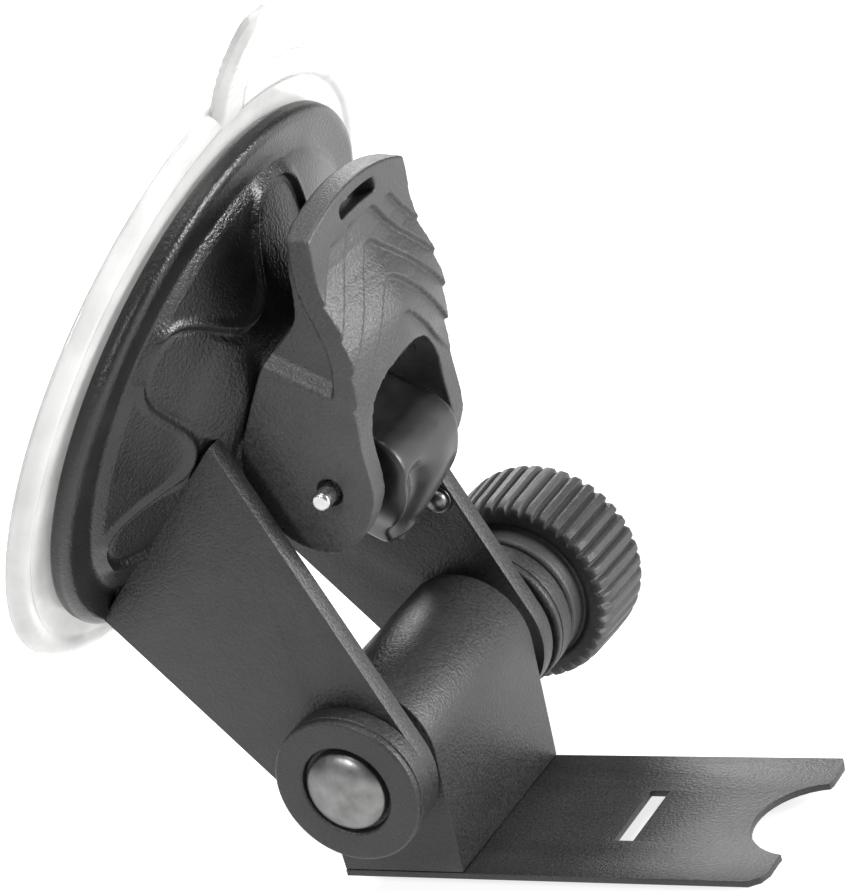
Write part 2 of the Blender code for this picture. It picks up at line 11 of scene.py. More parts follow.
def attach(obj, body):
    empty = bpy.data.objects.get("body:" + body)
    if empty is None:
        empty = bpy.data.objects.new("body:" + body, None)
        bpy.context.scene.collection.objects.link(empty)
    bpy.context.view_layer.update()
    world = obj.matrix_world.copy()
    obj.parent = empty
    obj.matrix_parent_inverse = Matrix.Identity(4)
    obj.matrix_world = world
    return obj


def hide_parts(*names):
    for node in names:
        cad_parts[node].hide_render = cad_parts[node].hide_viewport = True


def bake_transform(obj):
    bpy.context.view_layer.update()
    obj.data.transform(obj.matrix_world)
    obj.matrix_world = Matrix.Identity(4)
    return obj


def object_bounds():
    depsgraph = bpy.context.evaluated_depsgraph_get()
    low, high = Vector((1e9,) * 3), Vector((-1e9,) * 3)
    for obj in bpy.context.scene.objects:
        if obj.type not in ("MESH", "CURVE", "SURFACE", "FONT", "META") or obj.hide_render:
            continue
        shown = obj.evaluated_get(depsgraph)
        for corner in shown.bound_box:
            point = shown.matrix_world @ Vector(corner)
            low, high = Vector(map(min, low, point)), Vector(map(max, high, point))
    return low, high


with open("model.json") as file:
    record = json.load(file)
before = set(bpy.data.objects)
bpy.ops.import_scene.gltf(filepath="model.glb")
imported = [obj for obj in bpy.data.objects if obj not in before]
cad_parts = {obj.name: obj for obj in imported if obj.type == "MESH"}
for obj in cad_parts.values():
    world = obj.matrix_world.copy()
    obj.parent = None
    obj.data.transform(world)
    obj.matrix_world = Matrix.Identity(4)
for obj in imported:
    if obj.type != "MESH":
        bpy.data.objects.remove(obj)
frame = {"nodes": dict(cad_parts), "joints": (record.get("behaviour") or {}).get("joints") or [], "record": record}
CAD_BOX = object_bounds()

# ---- sizes in millimetres, in the frame's own terms ----------------------------------------------
MM = 0.001
JOINTS = {joint["name"]: joint for joint in frame["joints"]}
CUP_TILT = math.radians(29.6)
CUP_OUT = Vector((math.cos(CUP_TILT), 0.0, -math.sin(CUP_TILT)))
CUP_UP = Vector((math.sin(CUP_TILT), 0.0, math.cos(CUP_TILT)))
PIN_AT = Vector(JOINTS["lever_swing"]["pos_m"]) / MM
PIVOT_AT = Vector(JOINTS["camera_tilt"]["pos_m"]) / MM
ACROSS = Vector((0.0, 1.0, 0.0))


def axes(x, y, z, origin=Vector((0, 0, 0))):
    """Matrix that takes local millimetres to the row frame in millimetres."""
    turn = Matrix((x, y, z)).transposed().to_4x4()
    return Matrix.Translation(origin) @ turn


CUP = axes(ACROSS, CUP_UP, CUP_OUT)                        # z out of the glass
SIDE = axes(CUP_OUT, CUP_UP, -ACROSS)                      # x out of the glass, y up the cup's face
PIN = axes(CUP_OUT, CUP_UP, -ACROSS, PIN_AT)
PIVOT = axes(Vector((1, 0, 0)), Vector((0, 0, -1)), ACROSS, PIVOT_AT)   # z towards the knob


# ---- mesh helpers --------------------------------------------------------------------------------
def piece(name, verts, faces, body, material, *nodes, local=None, smooth=40.0):
    """Make a mesh from local millimetres, hang it on a body and let it stand for CAD nodes."""
    mesh = bpy.data.meshes.new(name)
    local = local or Matrix.Identity(4)
    mesh.from_pydata([tuple((local @ Vector(v)) * MM) for v in verts], [], faces)
    obj = bpy.data.objects.new(name, mesh)
    bpy.context.scene.collection.objects.link(obj)
    mesh.materials.append(material)
    soften(mesh, smooth)
    settle(obj, body, nodes)
    return obj


def soften(mesh, degrees):
    work = bmesh.new()
    work.from_mesh(mesh)
    bmesh.ops.recalc_face_normals(work, faces=work.faces)
    work.to_mesh(mesh)
    work.free()
    mesh.shade_smooth()
    mesh.set_sharp_from_angle(angle=math.radians(degrees))


def settle(obj, body, nodes):
    if body:
        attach(obj, body)
    if nodes:
        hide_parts(*nodes)


SLOTS = {part["node"]: part["material_slot"] for part in frame["record"]["subparts"]}


def rounded(points, radius, closed=False, steps=4):
    """Round the corners of a 2D line; a point may carry its own radius as a third value."""
    out = []
    count = len(points)
    for i, point in enumerate(points):
        r = point[2] if len(point) > 2 else radius
        here = Vector(point[:2])
        if r == 0 or (not closed and i in (0, count - 1)):
            out.append(tuple(here))
            continue
        before = Vector(points[i - 1][:2]) - here
        after = Vector(points[(i + 1) % count][:2]) - here
        cut = min(r, 0.48 * before.length, 0.48 * after.length)
        start = here + before.normalized() * cut
        end = here + after.normalized() * cut
        for k in range(steps + 1):
            t = k / steps
            out.append(tuple(start * (1 - t) ** 2 + here * 2 * t * (1 - t) + end * t ** 2))
    return out


def spline(points, steps=8):
    """Catmull-Rom curve through 2D points."""
    pts = [Vector(p) for p in points]
    pts = [2 * pts[0] - pts[1]] + pts + [2 * pts[-1] - pts[-2]]
    out = []
    for i in range(1, len(pts) - 2):
        a, b, c, d = pts[i - 1:i + 3]
        for k in range(steps):
            t = k / steps
            out.append(0.5 * ((2 * b) + (c - a) * t + (2 * a - 5 * b + 4 * c - d) * t * t
                              + (3 * b - a - 3 * c + d) * t ** 3))
    out.append(pts[-2])
    return [tuple(p) for p in out]


def arc(cx, cy, radius, start, end, count):
    turns = [math.radians(start + (end - start) * i / (count - 1)) for i in range(count)]
    return [(cx + radius * math.cos(t), cy + radius * math.sin(t)) for t in turns]


def turned(name, profile, local, body, material, *nodes, steps=144, closed=False, shape=None, smooth=40.0):
    """Turn a (radius, height) profile about local z; shape(angle, r, z) may move each point."""
    verts = []
    rings = []
    for r, z in profile:
        if r < 1e-6 and not closed:
            rings.append([len(verts)])
            verts.append((0.0, 0.0, z))
            continue
        ring = []
        for k in range(steps):
            angle = 2 * math.pi * k / steps
            radius, height = shape(angle, r, z) if shape else (r, z)
            ring.append(len(verts))
            verts.append((radius * math.cos(angle), radius * math.sin(angle), height))
        rings.append(ring)
    faces = []
    pairs = list(zip(rings, rings[1:]))
    if closed:
        pairs.append((rings[-1], rings[0]))
    for low, high in pairs:
        for k in range(steps):
            n = (k + 1) % steps
            if len(low) == 1:
                faces.append((low[0], high[n], high[k]))
            elif len(high) == 1:
                faces.append((low[k], low[n], high[0]))
            else:
                faces.append((low[k], low[n], high[n], high[k]))
    return piece(name, verts, faces, body, material, *nodes, local=local, smooth=smooth)


def slab(name, outline, half, local):
    """Flat outline extruded half each way about local z, as a loose object."""
    curve = bpy.data.curves.new(name, "CURVE")
    curve.dimensions = "2D"
    curve.fill_mode = "BOTH"
    curve.extrude = half * MM
    line = curve.splines.new("POLY")
    line.points.add(len(outline) - 1)
    line.use_cyclic_u = True
    for point, (x, y) in zip(line.points, outline):
        point.co = (x * MM, y * MM, 0.0, 1.0)
    source = bpy.data.objects.new(name + "_curve", curve)
    bpy.context.scene.collection.objects.link(source)
    bpy.context.view_layer.update()
    evaluated = source.evaluated_get(bpy.context.evaluated_depsgraph_get())
    mesh = bpy.data.meshes.new_from_object(evaluated)
    bpy.data.objects.remove(source, do_unlink=True)
    work = bmesh.new()
    work.from_mesh(mesh)
    bmesh.ops.remove_doubles(work, verts=work.verts, dist=1e-6)
    work.to_mesh(mesh)
    work.free()
    mesh.materials.clear()
    placed = local.copy()
    placed.translation = local.translation * MM
    mesh.transform(placed)
    obj = bpy.data.objects.new(name, mesh)
    bpy.context.scene.collection.objects.link(obj)
    return obj


def apply_all(obj):
    """Keep the evaluated mesh and drop the modifiers."""
    bpy.context.view_layer.update()
    evaluated = obj.evaluated_get(bpy.context.evaluated_depsgraph_get())
    mesh = bpy.data.meshes.new_from_object(evaluated)
    obj.modifiers.clear()
    obj.data = mesh


def cut(obj, cutter, operation="DIFFERENCE"):
    mod = obj.modifiers.new("cut", "BOOLEAN")
    mod.operation = operation
    mod.solver = "EXACT"
    mod.object = cutter
    apply_all(obj)
    bpy.data.objects.remove(cutter, do_unlink=True)


def melt(obj, voxel, passes, factor=0.5):
    """Remesh a rough solid evenly and relax it, which rounds every edge as moulding does."""
    mod = obj.modifiers.new("remesh", "REMESH")
    mod.mode = "VOXEL"
    mod.voxel_size = voxel * MM
    mod.use_smooth_shade = True
    relax = obj.modifiers.new("relax", "SMOOTH")
    relax.factor = factor
    relax.iterations = passes
    apply_all(obj)


def move_points(obj, local, rule):
    """Shift every vertex by rule(points), both in local millimetres."""
    mesh = obj.data
    world = np.empty(len(mesh.vertices) * 3)
    mesh.vertices.foreach_get("co", world)
    to_local = np.array(local.inverted())
    points = (world.reshape(-1, 3) / MM) @ to_local[:3, :3].T + to_local[:3, 3]
    moved = rule(points)
    back = np.array(local)
    world = (moved @ back[:3, :3].T + back[:3, 3]) * MM
    mesh.vertices.foreach_set("co", world.ravel())
    mesh.update()


def softened(node, name, body, material, width, segments=3, smooth=30.0):
    """A copy of a CAD node with its flat faces joined up and its edges rounded."""
    source = frame["nodes"][node]
    mesh = source.data.copy()
    work = bmesh.new()
    work.from_mesh(mesh)
    bmesh.ops.remove_doubles(work, verts=work.verts, dist=2e-6)
    bmesh.ops.dissolve_limit(work, angle_limit=math.radians(0.8), verts=work.verts, edges=work.edges)
    work.to_mesh(mesh)
    work.free()
    mesh.materials.clear()
    obj = bpy.data.objects.new(name, mesh)
    bpy.context.scene.collection.objects.link(obj)
    mod = obj.modifiers.new("rims", "BEVEL")
    mod.width = width * MM
    mod.segments = segments
    mod.limit_method = "ANGLE"
    mod.angle_limit = math.radians(32)
    mod.harden_normals = False
    apply_all(obj)
    obj.data.materials.append(material)
    soften(obj.data, smooth)
    settle(obj, body, [node])
    return obj


# ---- materials -----------------------------------------------------------------------------------
class Nodes:
    """Short spelling for the node trees below."""

    def __init__(self, name):
        self.material = bpy.data.materials.new(name)
        self.material.use_nodes = True
        self.tree = self.material.node_tree
        self.shader = self.tree.nodes["Principled BSDF"]
        self.coords = self.tree.nodes.new("ShaderNodeTexCoord").outputs["Object"]

    def link(self, a, b):
        self.tree.links.new(a, b)

    def noise(self, size, detail=2.0, rough=0.5):
        """Noise whose features are about size millimetres."""
        node = self.tree.nodes.new("ShaderNodeTexNoise")
        node.inputs["Scale"].default_value = 1.0 / (size * MM)
        node.inputs["Detail"].default_value = detail
        node.inputs["Roughness"].default_value = rough
        self.link(self.coords, node.inputs["Vector"])
        return node.outputs["Fac"]

    def spots(self, size):
        node = self.tree.nodes.new("ShaderNodeTexVoronoi")
        node.inputs["Scale"].default_value = 1.0 / (size * MM)
        self.link(self.coords, node.inputs["Vector"])
        return node.outputs["Distance"]

    def span(self, value, low, high, start=0.3, end=0.7):
        node = self.tree.nodes.new("ShaderNodeMapRange")
        node.inputs["From Min"].default_value = start
        node.inputs["From Max"].default_value = end
        node.inputs["To Min"].default_value = low
        node.inputs["To Max"].default_value = high
        self.link(value, node.inputs["Value"])
        return node.outputs["Result"]

    def blend(self, value, first, second, start=0.35, end=0.65):
        node = self.tree.nodes.new("ShaderNodeValToRGB")
        node.color_ramp.elements[0].position = start
        node.color_ramp.elements[1].position = end
        node.color_ramp.elements[0].color = (*first, 1.0)
        node.color_ramp.elements[1].color = (*second, 1.0)
        self.link(value, node.inputs["Fac"])
        return node.outputs["Color"]

    def add(self, first, second, weight=1.0):
        node = self.tree.nodes.new("ShaderNodeMath")
        node.operation = "MULTIPLY_ADD"
        self.link(second, node.inputs[0])
        node.inputs[1].default_value = weight
        self.link(first, node.inputs[2])
        return node.outputs["Value"]

    def bump(self, height, depth, normal=None):
        """Bump of depth millimetres."""
        node = self.tree.nodes.new("ShaderNodeBump")
        node.inputs["Distance"].default_value = depth * MM
        self.link(height, node.inputs["Height"])
        if normal:
            self.link(normal, node.inputs["Normal"])
        self.link(node.outputs["Normal"], self.shader.inputs["Normal"])
        return node.outputs["Normal"]

    def colour(self, output):
        self.link(output, self.shader.inputs["Base Color"])

    def rough(self, output):
        self.link(output, self.shader.inputs["Roughness"])


def grey(value, warm=0.0):
    return (value * (1 + warm), value, value * (1 - warm))


def powder_coat():
    n = Nodes("powder_coat")
    grain = n.noise(0.42, 2.0, 0.6)
    coarse = n.noise(4.0, 3.0)
    n.colour(n.blend(n.add(grain, coarse, 0.35), grey(0.010), grey(0.028, 0.01), 0.42, 0.95))
    n.rough(n.span(grain, 0.36, 0.52))
    n.bump(grain, 0.10)
    n.shader.inputs["Specular IOR Level"].default_value = 0.42
    return n.material


def cover_abs():
    n = Nodes("cover_abs")
    grain = n.noise(0.45, 2.0, 0.6)
    cloud = n.noise(9.0, 3.0)
    n.colour(n.blend(cloud, grey(0.005), grey(0.010)))
    n.rough(n.span(cloud, 0.28, 0.38))
    n.bump(grain, 0.12)
    n.shader.inputs["Specular IOR Level"].default_value = 0.5
    return n.material


def head_abs():
    n = Nodes("head_abs")
    grain = n.noise(0.22, 2.0)
    cloud = n.noise(5.0, 3.0)
    n.colour(n.blend(cloud, grey(0.006), grey(0.012)))
    n.rough(n.span(cloud, 0.27, 0.40))
    n.bump(grain, 0.012)
    return n.material


def lever_nylon():
    n = Nodes("lever_nylon")
    grain = n.noise(0.38, 2.5, 0.6)
    cloud = n.noise(6.0, 3.0)
    n.colour(n.blend(n.add(grain, cloud, 0.5), grey(0.018), grey(0.042, 0.01), 0.5, 1.0))
    n.rough(n.span(grain, 0.38, 0.54))
    n.bump(grain, 0.10)
    return n.material


def knob_rubber():
    n = Nodes("knob_rubber")
    grain = n.noise(0.28, 2.0, 0.6)
    cloud = n.noise(5.0, 2.0)
    n.colour(n.blend(n.add(grain, cloud, 0.4), grey(0.012), grey(0.030), 0.45, 0.9))
    n.rough(n.span(grain, 0.42, 0.58))
    n.bump(grain, 0.08)
    return n.material


def clear_pvc():
    n = Nodes("clear_pvc")
    cloud = n.noise(7.0, 3.0)
    specks = n.spots(2.6)
    n.colour(n.blend(cloud, (0.64, 0.64, 0.63), (0.74, 0.74, 0.73)))
    n.rough(n.span(cloud, 0.12, 0.24))
    n.bump(n.span(specks, 1.0, 0.0, 0.0, 0.16), 0.03, n.bump(cloud, 0.25))
    n.shader.inputs["Transmission Weight"].default_value = 0.50
    n.shader.inputs["IOR"].default_value = 1.45
    return n.material


def steel(name, low, high, roughness):
    n = Nodes(name)
    streak = n.noise(0.5, 3.0, 0.6)
    cloud = n.noise(3.0, 3.0)
    n.colour(n.blend(cloud, grey(low, 0.01), grey(high, 0.01)))
    n.rough(n.span(streak, roughness - 0.06, roughness + 0.08))
    n.bump(streak, 0.006)
    n.shader.inputs["Metallic"].default_value = 1.0
    return n.material


def white_nylon():
    n = Nodes("white_nylon")
    cloud = n.noise(3.0, 3.0)
    n.colour(n.blend(cloud, (0.62, 0.61, 0.57), (0.74, 0.73, 0.69)))
    n.rough(n.span(cloud, 0.38, 0.5))
    n.bump(n.noise(0.3, 2.0), 0.01)
    return n.material


def floor_paint():
    n = Nodes("floor_paint")
    cloud = n.noise(60.0, 2.0)
    n.colour(n.blend(cloud, grey(0.40), grey(0.44)))
    n.rough(n.span(cloud, 0.7, 0.8))
    n.shader.inputs["Emission Color"].default_value = (1.0, 1.0, 1.0, 1.0)
    n.shader.inputs["Emission Strength"].default_value = 0.78
    return n.material


LOOKS = {"powder_coat": powder_coat(), "cover_abs": cover_abs(), "head_abs": head_abs(),
         "lever_nylon": lever_nylon(), "knob_rubber": knob_rubber(), "clear_pvc": clear_pvc(),
         "bright_steel": steel("bright_steel", 0.50, 0.66, 0.26),
         "satin_steel": steel("satin_steel", 0.15, 0.23, 0.38),
         "dark_steel": steel("dark_steel", 0.10, 0.16, 0.34), "white_nylon": white_nylon()}


def dress_frame():
    """Every CAD node that stays in sight takes the finish of its slot."""
    for node, obj in frame["nodes"].items():
        obj.data.materials.clear()
        obj.data.materials.append(LOOKS[SLOTS[node]])


# ---- suction cup and its cover -------------------------------------------------------------------
CUP_R = 41.9
TAB_ANGLE = math.radians(98.0)
TAB_HALF = 3.25
TAB_LENGTH = 17.4
TAB_OVERLAP = 1.6         # how far its root runs into the rim
TAB_CURL_R = 47.0
TAB_ROOT_R = 41.0
TAB_ROOT_Z = 1.32


def cup_skin():
    profile = [(0, 7.0), (9, 7.0), (14, 6.1), (20, 4.3), (26, 2.7), (31, 2.15), (36.3, 1.75, 0.6),
               (38.5, 1.7, 0.3), (39.2, 2.25, 0.4), (40.2, 2.3, 0.5), (41.0, 1.75, 0.5), (41.6, 1.0, 0.4),
               (CUP_R, 0.5, 0.3), (41.7, 0.1, 0.3), (41.0, 0.0, 0.4), (37.8, 0.0, 0.8), (35.5, 0.6, 0.8),
               (30, 1.1), (22, 2.7), (12, 4.6), (0, 5.0)]
    line = rounded(profile, 1.0)
    cup = turned("cup_skin", line, CUP, None, LOOKS["clear_pvc"], "suction_cup", steps=192)
    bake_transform(cup)   # baked into the row frame and hung on no body
    return cup


def pull_tab():
    """Ribbed tab: a ribbon that leaves the rim flat and curls off the glass, with a round tip."""
    verts = []
    faces = []
    rows, cols = 60, 17
    for side in (1, -1):
        for i in range(rows):
            u = i / (rows - 1)
            reach = TAB_LENGTH * u - TAB_OVERLAP
            bend = max(reach, 0.0) / TAB_CURL_R
            r = TAB_ROOT_R + (TAB_CURL_R * math.sin(bend) if reach > 0 else reach)
            a = TAB_ROOT_Z + TAB_CURL_R * (1 - math.cos(bend))
            tip = max(0.0, (u - 0.84) / 0.16)
            half = TAB_HALF * math.sqrt(max(0.02, 1 - tip ** 2.4)) * (1.08 - 0.12 * u)
            ribbed = 0.22 < u < 0.62
            rib = 0.22 * max(0.0, math.sin(2 * math.pi * reach / 1.55)) if ribbed else 0.0
            for j in range(cols):
                v = -1 + 2 * j / (cols - 1)
                edge = math.sqrt(max(0.0, 1 - abs(v) ** 6))
                thick = (1.05 * edge + rib * (1 - v * v)) * math.sqrt(max(0.03, 1 - tip ** 4))
                off_r = -math.sin(bend) * side * thick
                off_a = math.cos(bend) * side * thick
                radial = r + off_r
                x = radial * math.cos(TAB_ANGLE) + v * half * math.sin(TAB_ANGLE)
                y = radial * math.sin(TAB_ANGLE) - v * half * math.cos(TAB_ANGLE)
                verts.append((x, y, a + off_a))
    base = rows * cols

    def at(s, i, j):
        return s * base + i * cols + j

    for i in range(rows - 1):
        for j in range(cols - 1):
            faces.append((at(0, i, j), at(0, i, j + 1), at(0, i + 1, j + 1), at(0, i + 1, j)))
            faces.append((at(1, i, j), at(1, i + 1, j), at(1, i + 1, j + 1), at(1, i, j + 1)))
        for j in (0, cols - 1):
            faces.append((at(0, i, j), at(0, i + 1, j), at(1, i + 1, j), at(1, i, j)))
    for i in (0, rows - 1):
        for j in range(cols - 1):
            faces.append((at(0, i, j), at(0, i, j + 1), at(1, i, j + 1), at(1, i, j)))
    tab = piece("pull_tab", verts, faces, "base", LOOKS["clear_pvc"], local=CUP)
    return tab


PETALS = 6
PETAL_TURN = math.radians(28.0)
PETAL_MEAN = 24.6
PETAL_SWING = 5.3
DOME_INNER_R = 15.0      # the relief lies between these radii, on the dome's outer skin
DOME_OUTER_R = 30.9
DOME_LOW_Z = 5.0


def petal_edge(angle):
    """Radius of the wavy bead that runs round the dome."""
    wave = math.cos(PETALS * (angle - PETAL_TURN))
    return PETAL_MEAN + PETAL_SWING * math.tanh(1.3 * wave) / math.tanh(1.3)


def smoothstep(x):
    x = min(1.0, max(0.0, x))
    return x * x * (3 - 2 * x)


def dome_relief(angle, r, z):
    """Raised bead along the petals' edge, with the petals sunk a little inside it."""
    if z < DOME_LOW_Z or r > DOME_OUTER_R or r < DOME_INNER_R:
        return r, z
    slope = (petal_edge(angle + 0.01) - petal_edge(angle - 0.01)) / (0.02 * max(r, 1.0))
    gap = (r - petal_edge(angle)) / math.sqrt(1 + slope * slope)
    fade = smoothstep((DOME_OUTER_R - r) / 0.8) * smoothstep((r - DOME_INNER_R) / 2.0)
    bead = 0.58 * math.exp(-(gap / 0.52) ** 2)
    groove = -0.32 * math.exp(-((gap + 1.1) / 0.45) ** 2)
    sunk = -0.22 * smoothstep((-gap - 0.3) / 1.4)
    return r, z + fade * (bead + groove + sunk)


def cover_skin():
    bore = 3.9
    dome = spline([(14.4, 14.9), (15.4, 14.35), (17.0, 13.5), (19.4, 11.9), (22.0, 10.1), (26.0, 8.05),
                   (29.4, 6.5)], 14)
    top = rounded([(bore, 15.2), (13.2, 15.2), (14.4, 14.9, 0)], 0.8)
    rim = rounded([(29.4, 6.5, 0), (30.6, 5.35, 0.5), (31.2, 5.2, 0.4), (34.6, 5.2, 0.5), (35.4, 4.8, 0.4),
                   (35.7, 4.2, 0.3), (35.7, 3.0, 0.3), (35.4, 2.55, 0.2), (31.6, 2.5), (29.0, 4.2),
                   (22.0, 6.2), (16.0, 8.8), (13.2, 12.3), (9.6, 12.7), (bore, 12.7)], 0.6)
    line = top[:-1] + dome + rim[1:]
    return turned("cover_skin", line, CUP, "base", LOOKS["cover_abs"], "base_cover", steps=720,
                  closed=True, shape=dome_relief)


# ---- lever and stud head -------------------------------------------------------------------------
LEVER_HALF = 12.75
WALL_INNER = 10.5         # side walls further out than this step in
WALL_STEP = 1.3
FRONT = [(-10.6, 32.4), (-7.6, 26.8), (-4.6, 23.4), (-1.7, 19.8), (0.0, 15.8), (0.9, 12.6), (2.5, 8.2),
         (4.6, 4.4), (5.7, 1.9), (5.9, -0.9)]
CAM_BACK = -12.55
CAM_LOCKED_R = 12.43
STROKE = 3.4


def lever_outline():
    foot = [(5.6, -3.4), (4.9, -5.6), (3.7, -7.3), (2.2, -8.5)]
    cam = []
    for degrees in range(95, -1, -5):
        radius = CAM_LOCKED_R - STROKE * degrees / 95
        t = math.radians(degrees)
        cam.append((-radius * math.cos(t), -radius * math.sin(t)))
    back = spline([(CAM_BACK, 1.0), (CAM_BACK, 8.5), (-12.2, 13.4), (-10.2, 19.3), (-10.7, 22.6),
                   (-12.3, 26.4), (-13.9, 31.2)], 6)
    return spline(FRONT, 6) + foot + cam + back


def front_frame(points):
    """Distance down the pad's face from its tip, and height above that face, for each point."""
    line = np.array(spline(FRONT, 24))
    step = np.linalg.norm(np.diff(line, axis=0), axis=1)
    along = np.concatenate([[0.0], np.cumsum(step)])
    tangent = np.gradient(line, axis=0)
    tangent /= np.linalg.norm(tangent, axis=1)[:, None]
    normal = np.stack([-tangent[:, 1], tangent[:, 0]], axis=1)
    normal *= np.sign(normal[:, :1])
    nearest = np.empty(len(points), int)
    for start in range(0, len(points), 20000):
        part = points[start:start + 20000, None, :2] - line[None]
        nearest[start:start + 20000] = np.argmin((part ** 2).sum(axis=2), axis=1)
    offset = points[:, :2] - line[nearest]
    height = (offset * normal[nearest]).sum(axis=1)
    return along[nearest], height, normal[nearest]


STEP_PITCH = 4.7
STEP_HEIGHT = 0.62
STEP_RISE = 0.90          # part of each step that climbs before it drops
PAD_CROWN = 1.0
PAD_SKIN = 1.6            # the relief fades out this far from the pad's face
TIP_BULGE = 2.3


def pad_relief(points):
    """Crowned pad with terraces that run down both ways from its middle line, and a convex tip."""
    w = -points[:, 2]
    s, height, normal = front_frame(points)
    skin = np.clip(1 - np.abs(height) / PAD_SKIN, 0, 1)
    side = np.clip(w / LEVER_HALF, -1, 1)
    crown = PAD_CROWN * (1 - side ** 2) * np.clip((s - 4) / 8, 0, 1) * np.clip((30 - s) / 10, 0, 1)
    fold = s - 1.05 * np.sqrt(w ** 2 + 1.8 ** 2) + 1.9
    phase = (fold + 2.7) / STEP_PITCH
    tooth = phase - np.floor(phase)
    ridge = np.where(tooth < STEP_RISE, tooth / STEP_RISE, (1 - tooth) / (1 - STEP_RISE))
    inside = np.clip((s - 3.6) / 0.5, 0, 1) * np.clip((fold + 3.4) / 0.6, 0, 1)
    inside *= np.clip((27.5 - s) / 4.0, 0, 1)
    relief = crown + STEP_HEIGHT * (ridge - 0.75) * inside
    moved = points.copy()
    moved[:, :2] += normal * (relief * skin)[:, None]
    tip = np.clip((points[:, 1] - 24.0) / 7.0, 0, 1) ** 2
    moved[:, 1] += tip * (TIP_BULGE - 2.4 * side ** 2)
    moved[:, 0] += tip * (-0.5 + 1.0 * side ** 2)
    return inset_cheeks(moved, height)


def ramp(values):
    """Smooth 0 to 1 over an array."""
    values = np.clip(values, 0, 1)
    return values * values * (3 - 2 * values)


def inset_cheeks(points, height):
    """Above the pin the side walls step in, which leaves a proud band along the pad's edge."""
    z = points[:, 2]
    outer = np.clip((np.abs(z) - WALL_INNER) / (LEVER_HALF - WALL_INNER), 0, 1)
    step = WALL_STEP * ramp((points[:, 1] - 12.6) / 2.2) * ramp((-height - 3.0) / 0.5)
    points[:, 2] = z - np.sign(z) * step * outer
    return points


def lever():
    obj = slab("lever_skin", lever_outline(), LEVER_HALF, PIN)
    hollow = [(-20.0, 21.0), (-8.8, 21.0), (-4.9, 18.9), (-3.2, 15.2), (-2.3, 12.0), (-0.7, 7.6), (1.4, 3.8),
              (9.0, -6.0), (9.0, -16.0), (-20.0, -16.0)]
    cut(obj, slab("channel", hollow, LEVER_HALF - 3.2, PIN))
    crown = arc(0.0, 7.4, 9.5, 6, 174, 21)
    arch = [(9.5, -20.0)] + [(x, 7.4 + (y - 7.4) * 0.86) for x, y in crown] + [(-9.5, -20.0)]
    across = axes(-ACROSS, CUP_UP, -CUP_OUT, PIN_AT + CUP_OUT * 8.5)
    cut(obj, slab("arch", arch, 10.0, across))
    slot = rounded([(-4.6, -0.62), (4.6, -0.62), (4.6, 0.62), (-4.6, 0.62)], 0.5, closed=True)
    lean = (CUP_OUT * 0.87 + CUP_UP * 0.49).normalized()
    along = lean.cross(ACROSS)
    place = PIN_AT + CUP_OUT * -10.0 + CUP_UP * 30.4
    cut(obj, slab("slot", slot, 5.0, axes(ACROSS, along, ACROSS.cross(along), place)))
    cut(obj, slab("pin_way", arc(0.0, 0.0, 1.35, 0, 345, 24), 20.0, PIN))
    mouth = arc(0.0, 0.0, 1.75, 0, 345, 24)
    mouth_at = axes(CUP_OUT, CUP_UP, -ACROSS, PIN_AT - ACROSS * LEVER_HALF)
    cut(obj, slab("pin_mouth", mouth, 0.9, mouth_at))
    melt(obj, 0.24, 3)
    move_points(obj, PIN, pad_relief)
    obj.data.materials.append(LOOKS["lever_nylon"])
    obj.data.shade_smooth()
    settle(obj, "lever", ["lock_lever"])
    return obj


SPINE_HEIGHT = 0.45
HOLLOW_DEPTH = 1.5


def head_relief(points):
    """The head's face: a hollow on the near side and a low spine beside it, down to the chin."""
    a, m, w = points[:, 0], points[:, 1], -points[:, 2]
    front = np.clip((a - 30.0) / 3.0, 0, 1)
    spine_w = 2.8 + 0.24 * (m - 2.0)
    spine = np.exp(-((w - spine_w) / 2.8) ** 2) * np.clip((4.0 - m) / 4.0, 0, 1)
    hollow_w = -3.4 - 0.3 * np.clip(m, 0, 5)
    hollow = np.exp(-((w - hollow_w) / 2.5) ** 2) * np.clip((3.6 - m) / 2.2, 0, 1)
    hollow *= np.clip((m + 11.5) / 4.0, 0, 1)
    moved = points.copy()
    moved[:, 0] += front * (SPINE_HEIGHT * spine - HOLLOW_DEPTH * hollow)
    return moved


def stud_head():
    brow = arc(30.5, 0.7, 5.3, 112, 12, 20)
    nose = spline([(35.7, 1.8), (36.2, -0.4), (36.2, -2.6), (35.4, -7.0)], 6)
    chin = arc(32.8, -8.9, 2.2, 15, -100, 12)
    outline = [(19.0, 5.9)] + brow + nose[1:] + chin + [(27.0, -10.6), (19.0, -9.0)]
    obj = slab("head_skin", outline, 7.6, SIDE)
    half = spline([(7.5, 5.4), (7.6, 0.0), (6.9, -4.0), (4.9, -7.6), (2.4, -12.4)], 6)
    front = [(6.4, 9.5)] + half + [(-y, m) for y, m in reversed(half)] + [(-6.4, 9.5)]
    cut(obj, slab("head_front", front, 30.0, axes(-ACROSS, CUP_UP, -CUP_OUT, PIN_AT)), "INTERSECT")
    melt(obj, 0.3, 22)
    move_points(obj, SIDE, head_relief)
    melt(obj, 0.25, 4)
    cut(obj, slab("cross_way", arc(28.0, 0.0, 1.30, 0, 345, 24), 20.0, SIDE))
    way = arc(0.0, 0.0, 3.6, 0, 345, 32)
    stud_way = axes(ACROSS, CUP_UP, CUP_OUT, CUP_OUT * 17.9)
    cut(obj, slab("stud_way", way, 8.0, stud_way))
    obj.data.materials.append(LOOKS["head_abs"])
    soften(obj.data, 50)
    settle(obj, "plunger", ["stud_head"])
    return obj


def pin():
    half = 15.45
    profile = rounded([(0, half, 0), (0.95, half, 0.2), (1.25, half - 0.3, 0.2), (1.25, -half + 0.3, 0.2),
                       (0.95, -half, 0.2), (0, -half, 0)], 0.2)
    return turned("pin_skin", profile, PIN, "plunger", LOOKS["bright_steel"], "lever_pin", steps=64)


